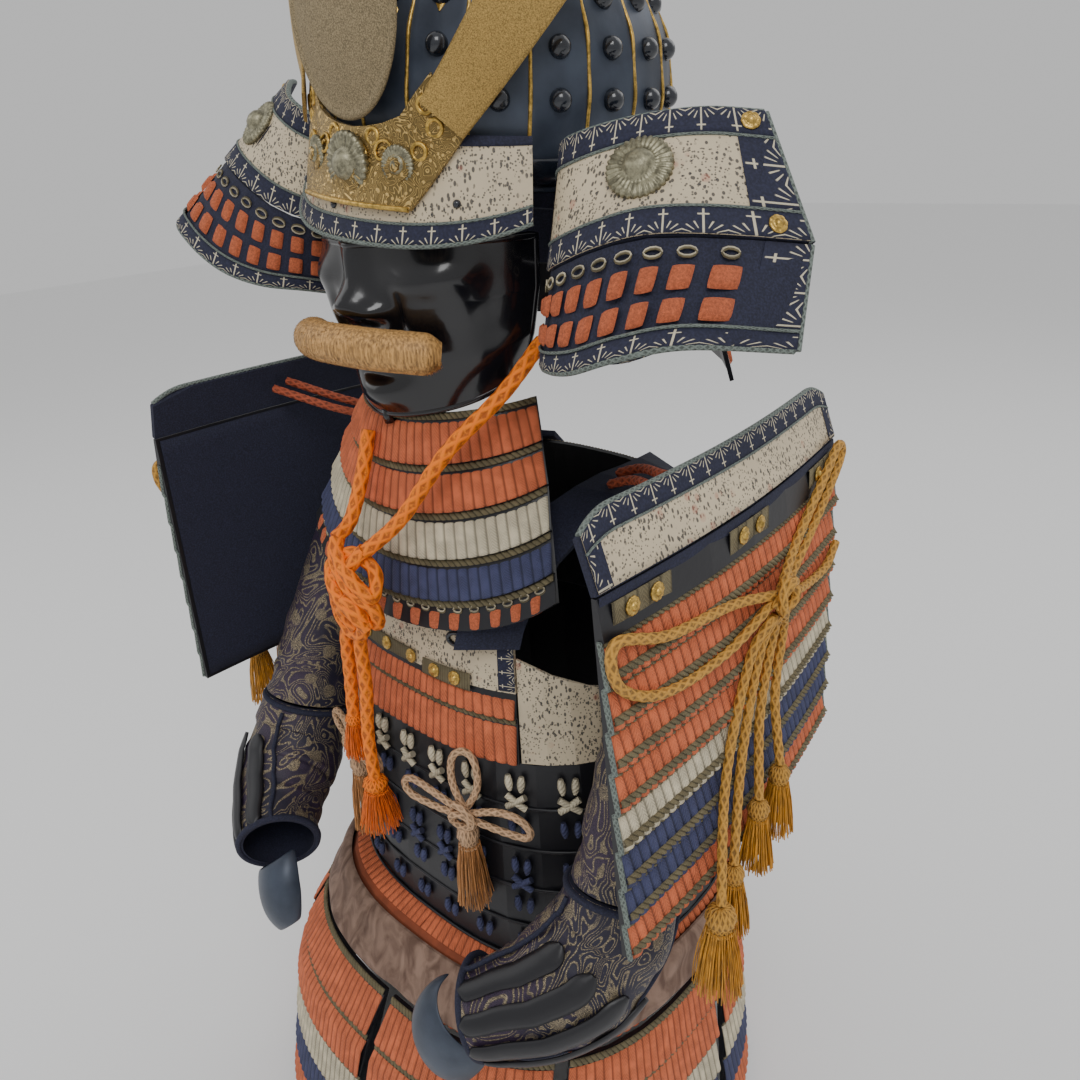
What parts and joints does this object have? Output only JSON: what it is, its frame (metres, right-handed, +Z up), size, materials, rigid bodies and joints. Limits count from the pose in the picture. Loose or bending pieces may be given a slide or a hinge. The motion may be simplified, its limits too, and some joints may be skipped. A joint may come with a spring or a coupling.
{
  "type": "samurai armour set",
  "caption": "Full samurai armour in its worn pose: helmet with horned crest, half mask, throat guard, laced cuirass, shoulder guards, sleeves and tassets.",
  "frame": {"origin": "between the wearer's shoulders, midway between the two shoulder straps at the height of their undersides, where the wearer carries the armour", "axes": "+Z up, -Y to the wearer's front, +X to the wearer's left"},
  "size_m": [0.5342, 0.41, 1.0437],
  "materials": {
    "lacquer": "black gloss lacquer over leather and iron lames",
    "bowl_iron": "dark blue-black satin lacquer over iron",
    "printed_leather": "cream printed leather facing, satin",
    "gilt": "aged gilt copper",
    "sand_gold": "sanded gold, matt and speckled",
    "orange_lace": "dyed silk lacing over lacquered lames",
    "brocade": "dark brocade with gold scrolls",
    "suede": "worn brown suede, matt",
    "orange_rope": "braided orange silk rope",
    "rust_rope": "braided rust silk cord",
    "gold_rope": "braided gold silk cord",
    "tan_rope": "braided tan silk cord",
    "tan_fur": "tan horsehair"
  },
  "bodies": {
    "root": {"waist_lames": "lacquer", "chest_lacing": "orange_lace", "chest_plate": "printed_leather", "back_plate": "orange_lace", "lacing_skirt": "orange_lace", "belt": "suede", "helmet_bowl": "bowl_iron", "helmet_peak": "printed_leather", "crest_base": "gilt", "crest_disc": "sand_gold", "neck_lame_1": "printed_leather", "neck_lame_2": "lacquer", "neck_lame_3": "lacquer", "face_mask": "lacquer", "moustache": "tan_fur", "throat_guard": "orange_lace", "chin_strand_left": "orange_rope", "chin_strand_right": "orange_rope", "chin_knot": "orange_rope", "chin_tassel_long": "orange_rope", "chin_tassel_short": "orange_rope", "tasset_1": "orange_lace", "tasset_2": "orange_lace", "tasset_3": "orange_lace", "tasset_4": "orange_lace", "tasset_5": "orange_lace", "tasset_6": "orange_lace", "tasset_7": "orange_lace", "side_plate_left": "printed_leather", "shoulder_strap_left": "printed_leather", "crest_horn_left": "sand_gold", "guard_boards_left": "orange_lace", "guard_crown_left": "printed_leather", "sleeve_upper_left": "brocade", "sleeve_fore_left": "brocade", "hand_guard_left": "bowl_iron", "shoulder_cord_left": "rust_rope", "chest_bow_left": "tan_rope", "chest_tassel_left": "tan_rope", "guard_rope_left": "gold_rope", "guard_tassel_1_left": "gold_rope", "guard_tassel_2_left": "gold_rope", "guard_tassel_3_left": "gold_rope", "guard_tassel_4_left": "gold_rope", "side_plate_right": "printed_leather", "shoulder_strap_right": "printed_leather", "crest_horn_right": "sand_gold", "guard_boards_right": "orange_lace", "guard_crown_right": "printed_leather", "sleeve_upper_right": "brocade", "sleeve_fore_right": "brocade", "hand_guard_right": "bowl_iron", "shoulder_cord_right": "rust_rope", "chest_bow_right": "tan_rope", "chest_tassel_right": "tan_rope", "guard_rope_right": "gold_rope", "guard_tassel_1_right": "gold_rope", "guard_tassel_2_right": "gold_rope", "guard_tassel_3_right": "gold_rope", "guard_tassel_4_right": "gold_rope"}
  },
  "joints": []
}
